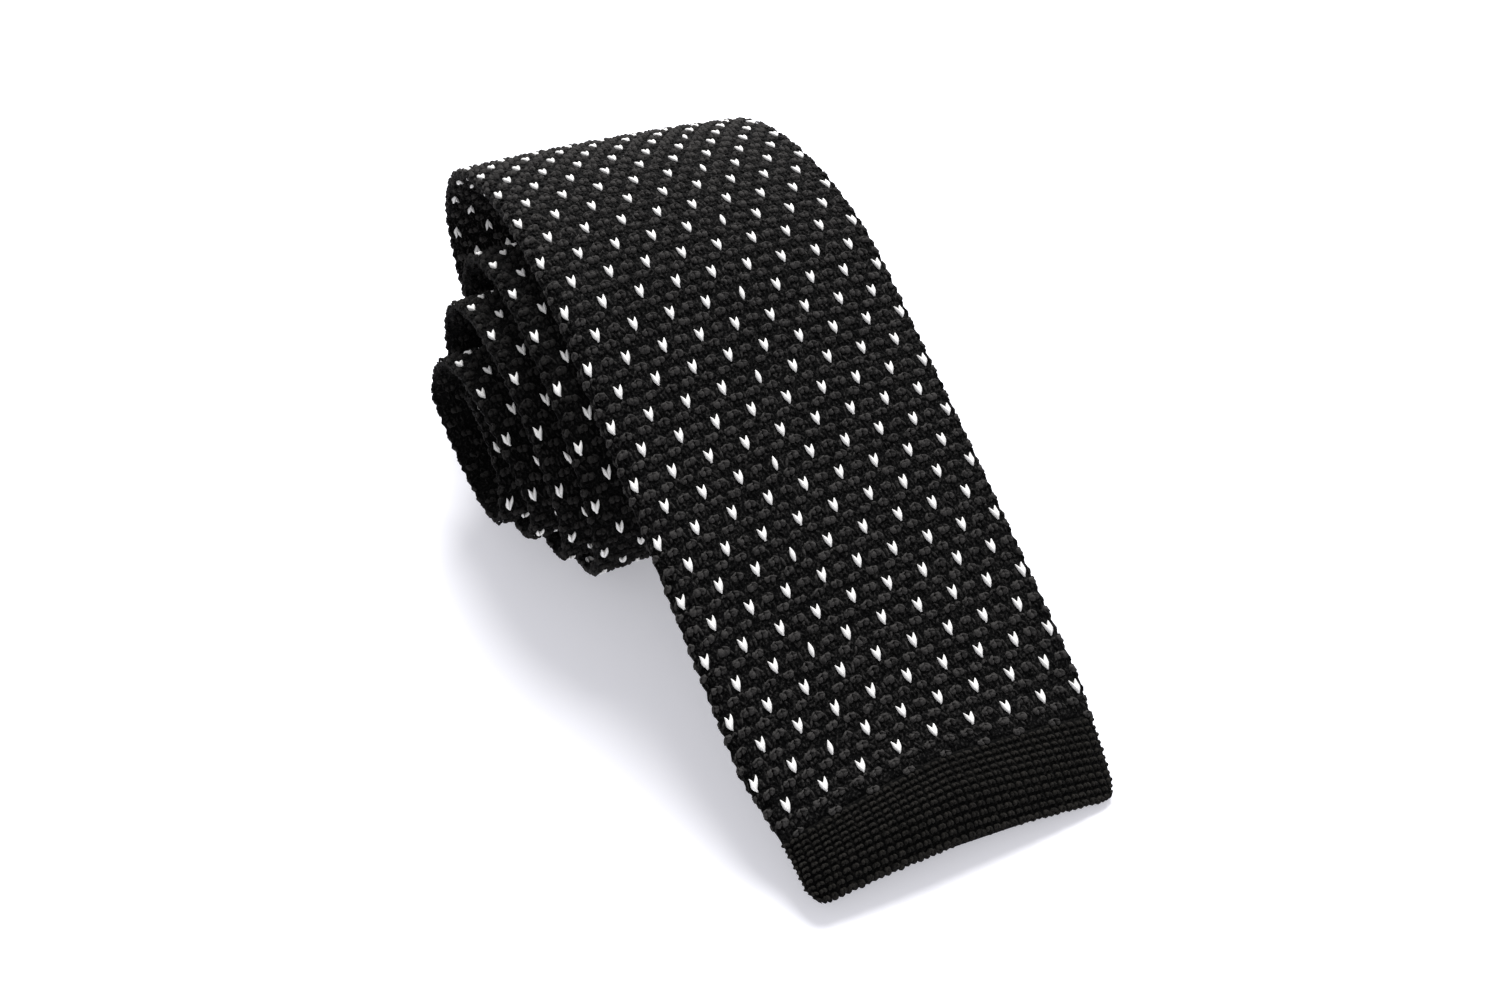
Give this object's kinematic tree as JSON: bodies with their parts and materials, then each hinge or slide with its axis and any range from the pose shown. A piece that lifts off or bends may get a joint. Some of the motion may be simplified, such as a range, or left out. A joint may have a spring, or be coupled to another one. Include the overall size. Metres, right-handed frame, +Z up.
{
  "type": "rolled knitted necktie",
  "caption": "Square-ended knitted necktie with a small V-stitch pattern, rolled up loosely with its wide end free as a ramp; the free end lifts and the inner turns slide out.",
  "frame": {"origin": "on the table, under the middle of the whole object's box", "axes": "+X across the tie to the right of its wide end, +Y from the wide end to the back of the roll, +Z up"},
  "size_m": [0.0774, 0.1536, 0.0613],
  "materials": {
    "pattern_knit": "coarse charcoal knit with small white V stitches",
    "plain_knit": "fine plain black knit",
    "ribbon": "woven black ribbon",
    "thread": "sewing thread"
  },
  "bodies": {
    "roll": {"blade_crown": "pattern_knit", "blade_back": "pattern_knit", "blade_underside": "pattern_knit", "second_turn_front": "pattern_knit", "second_turn_top": "pattern_knit", "second_turn_back": "pattern_knit", "keeper_loop": "ribbon", "keeper_tack_left": "thread", "keeper_tack_right": "thread", "blank_label": "ribbon"},
    "free_end": {"blade_ramp": "pattern_knit"},
    "end_band": {"wide_end_band": "plain_knit"},
    "core": {"third_turn_under": "pattern_knit", "third_turn_front": "pattern_knit", "third_turn_top": "pattern_knit", "third_turn_back": "pattern_knit", "fourth_turn_under": "pattern_knit", "fourth_turn_front": "pattern_knit", "fourth_turn_back": "pattern_knit", "fifth_turn_front": "pattern_knit", "neck_turn": "pattern_knit", "tail_front": "pattern_knit", "tail_back": "pattern_knit", "tail_end_band": "plain_knit"}
  },
  "joints": [
    {"name": "free_end_lift", "type": "hinge", "parent": "roll", "child": "free_end", "pos_m": [0, 0.01086, 0.05627], "axis": [-1, 0, 0], "range_deg": [0, 60]},
    {"name": "end_band_curl", "type": "hinge", "parent": "free_end", "child": "end_band", "pos_m": [0, -0.06459, 0.00952], "axis": [-1, 0, 0], "range_deg": [0, 50]},
    {"name": "core_slide", "type": "slide", "parent": "roll", "child": "core", "axis": [-1, 0, 0], "range_m": [-0.008, 0.016]}
  ]
}
